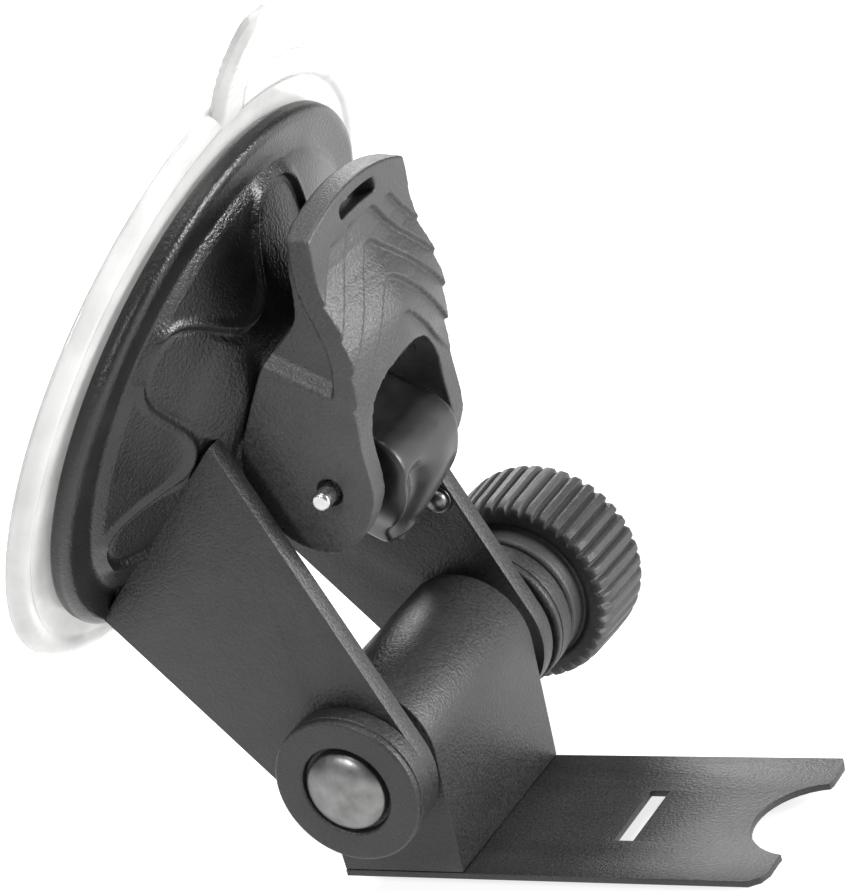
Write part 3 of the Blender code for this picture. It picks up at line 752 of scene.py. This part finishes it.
# ---- pivot hardware and knob ---------------------------------------------------------------------
ARM_INNER_Y = 15.86
ARM_OUTER_Y = 18.62
FACE_Y = -22.72
WASHER_R = 10.0


def bolt():
    seat = FACE_Y + 1.05
    cap = [(5.45 * math.cos(math.radians(t)), seat - 0.75 - 1.85 * math.sin(math.radians(t)))
           for t in range(90, 3, -6)]
    profile = cap + rounded([(5.45, seat - 0.7, 0), (5.45, seat - 0.05, 0.2), (3.0, seat - 0.05, 0.1),
                             (3.0, 37.5, 0.2), (2.4, 38.1, 0.2), (0.0, 38.1, 0)], 0.2)
    return turned("bolt_skin", profile, PIVOT, "base", LOOKS["satin_steel"], "pivot_bolt", steps=128)


def washer(name, node, near, far, seat=None):
    """Thick washer with a fine groove near one rim; seat sinks a round recess for a bolt head."""
    out = WASHER_R
    groove = [(out, near + 1.30), (out - 0.28, near + 1.14), (out, near + 0.98)]
    line = [(3.2, far), (out - 0.3, far, 0.3), (out, far - 0.3, 0.3), *groove, (out, near + 0.3, 0.25),
            (out - 0.3, near, 0.25)]
    if seat:
        line += [(6.3, near, 0.2), (6.05, near + 0.2, 0.1), (6.0, near + seat, 0.2), (3.2, near + seat)]
    else:
        line += [(3.2, near)]
    profile = rounded(line, 0.06, closed=True, steps=3)
    return turned(name, profile, PIVOT, "base", LOOKS["powder_coat"], node, steps=160, closed=True)


def shims():
    for name, node, look, inner, outer, low, high in (
            ("far_shim_skin", "far_shim", "white_nylon", 3.2, 7.2, 18.72, 19.46),
            ("lock_washer_skin", "lock_washer", "dark_steel", 3.2, 7.0, 23.82, 24.50)):
        profile = rounded([(inner, high), (outer, high), (outer, low), (inner, low)], 0.1, closed=True)
        turned(name, profile, PIVOT, "base", LOOKS[look], node, steps=96, closed=True)


KNOB_RIBS = 40
RIB_DEPTH = 0.66
RIB_FLOOR_R = 11.6
KNOB_Y = 24.62
KNOB_BODY_Y = KNOB_Y + 2.9
KNOB_END_Y = 40.6


def knob_rib(angle, r, z):
    """Saw-toothed grip: each rib leans the same way."""
    if r < RIB_FLOOR_R or z < KNOB_BODY_Y:
        return r, z
    part = (angle * KNOB_RIBS / (2 * math.pi)) % 1.0
    tooth = smoothstep(part / 0.42) if part < 0.80 else smoothstep((1.0 - part) / 0.20)
    reach = smoothstep((r - RIB_FLOOR_R) / 1.2)
    return r - RIB_DEPTH * (1 - tooth) * reach, z


def knob():
    body = rounded([(0, KNOB_END_Y, 0), (10.6, KNOB_END_Y, 0.8), (12.6, KNOB_END_Y - 0.5, 0.8),
                    (13.5, KNOB_END_Y - 1.7, 0.8), (13.6, KNOB_END_Y - 4.0, 1.5),
                    (13.35, KNOB_BODY_Y + 1.6, 0.8),
                    (12.9, KNOB_BODY_Y + 0.25, 0.4), (12.3, KNOB_BODY_Y + 0.0, 0.3),
                    (10.7, KNOB_BODY_Y + 0.0, 0.3), (10.1, KNOB_BODY_Y + 0.5, 0.3),
                    (9.75, KNOB_BODY_Y + 0.2, 0.3), (9.75, KNOB_Y + 0.5, 0.3), (9.3, KNOB_Y, 0.3),
                    (5.85, KNOB_Y, 0.1), (5.85, KNOB_Y + 5.3, 0.1), (3.2, KNOB_Y + 5.3, 0.1),
                    (3.2, 38.6, 0.1), (0, 38.6, 0)], 0.3, steps=5)
    return turned("knob_skin", body, PIVOT, "knob", LOOKS["knob_rubber"], "knob", steps=KNOB_RIBS * 20,
                  shape=knob_rib, smooth=35)


# ---- sheet-metal parts ---------------------------------------------------------------------------
ARM_CORNER = (12.6, 3.9)


def lower_corner(points):
    """The arm's corner beside the lever sits a little lower and further out than the CAD's."""
    near = np.hypot(points[:, 0] - ARM_CORNER[0], points[:, 1] - ARM_CORNER[1]) < 2.0
    moved = points.copy()
    moved[near, 0] += 1.0
    moved[near, 1] -= 1.1
    return moved


def plates():
    coat = LOOKS["powder_coat"]
    for node in ("near_arm", "far_arm"):
        arm = softened(node, node + "_skin", "base", coat, 0.22)
        move_points(arm, SIDE, lower_corner)
    softened("knuckle_block", "knuckle_skin", "bracket", coat, 0.30)
    softened("camera_plate", "plate_skin", "bracket", coat, 0.12)


def rivet():
    at = SIDE @ Vector((32.6, -15.7, -(ARM_INNER_Y + 1.38)))
    local = axes(CUP_OUT, CUP_UP, -ACROSS, at)
    turns = [math.radians(t) for t in range(90, 5, -7)]
    dome = [(1.55 * math.cos(t), 1.70 + 1.3 * math.sin(t)) for t in turns]
    profile = dome + rounded([(1.55, 1.68, 0), (1.97, 1.63, 0.08), (1.97, 1.43, 0.08), (1.15, 1.43, 0),
                              (1.15, -1.43, 0), (1.7, -1.43, 0.1), (1.5, -1.83, 0.2), (0, -1.83, 0)], 0.1)
    return turned("rivet_skin", profile, local, "base", LOOKS["dark_steel"], "stop_rivet", steps=72)


# ---- stage, light and camera ---------------------------------------------------------------------
def floor():
    low = CAD_BOX[0][2]
    mesh = bpy.data.meshes.new("floor")
    reach = 6.0
    z = low - 0.0005
    mesh.from_pydata([(-reach, -reach, z), (reach, -reach, z), (reach, reach, z), (-reach, reach, z)], [],
                     [(0, 1, 2, 3)])
    obj = bpy.data.objects.new("floor", mesh)
    bpy.context.scene.collection.objects.link(obj)
    mesh.materials.append(floor_paint())


def aim(obj, target, roll=0.0):
    """Point an object's -z at target, then turn it about its view line by roll degrees."""
    away = (target - obj.location).normalized()
    turn = away.to_track_quat("-Z", "Y").to_matrix().to_4x4()
    obj.rotation_euler = (turn @ Matrix.Rotation(math.radians(roll), 4, "Z")).to_euler()


CENTRE = Vector((0.0265, 0.0072, -0.0177))


def softbox(name, place, size, power):
    light = bpy.data.lights.new(name, "AREA")
    light.shape = "RECTANGLE"
    light.size, light.size_y = size
    light.energy = power
    obj = bpy.data.objects.new(name, light)
    bpy.context.scene.collection.objects.link(obj)
    obj.location = CENTRE + Vector(place)
    aim(obj, CENTRE)
    return obj


def lights():
    softbox("key", (-0.10, -0.80, 0.60), (0.22, 0.22), 6.0)
    softbox("top", (0.05, 0.15, 0.95), (0.7, 0.7), 9.0)
    softbox("right_panel", (0.82, 0.25, 0.24), (0.40, 0.35), 13.0)
    softbox("back_panel", (-0.50, 0.77, 0.42), (0.6, 0.35), 7.0)
    world = bpy.data.worlds.new("studio")
    world.use_nodes = True
    back = world.node_tree.nodes["Background"]
    back.inputs["Color"].default_value = (1.0, 1.0, 1.0, 1.0)
    back.inputs["Strength"].default_value = 0.22
    bpy.context.scene.world = world


CAMERA_AT = Vector((0.277985, -0.380203, 0.173855))
CAMERA_LENS = 168.85
CAMERA_ROLL = -15.86


def camera():
    data = bpy.data.cameras.new("camera")
    data.sensor_fit = "HORIZONTAL"
    data.sensor_width = 36.0
    data.lens = CAMERA_LENS
    data.clip_start = 0.01
    obj = bpy.data.objects.new("camera", data)
    bpy.context.scene.collection.objects.link(obj)
    obj.location = CAMERA_AT
    aim(obj, CENTRE, CAMERA_ROLL)
    bpy.context.scene.camera = obj


def main():
    dress_frame()
    cup_skin()
    pull_tab()
    cover_skin()
    lever()
    stud_head()
    pin()
    bolt()
    washer("near_washer_skin", "near_washer", FACE_Y, -ARM_OUTER_Y - 0.06, seat=1.05)
    washer("far_washer_skin", "far_washer", 19.52, 23.76)
    shims()
    knob()
    plates()
    rivet()
    floor()
    lights()
    camera()
    bpy.context.scene.view_settings.view_transform = "Standard"


main()
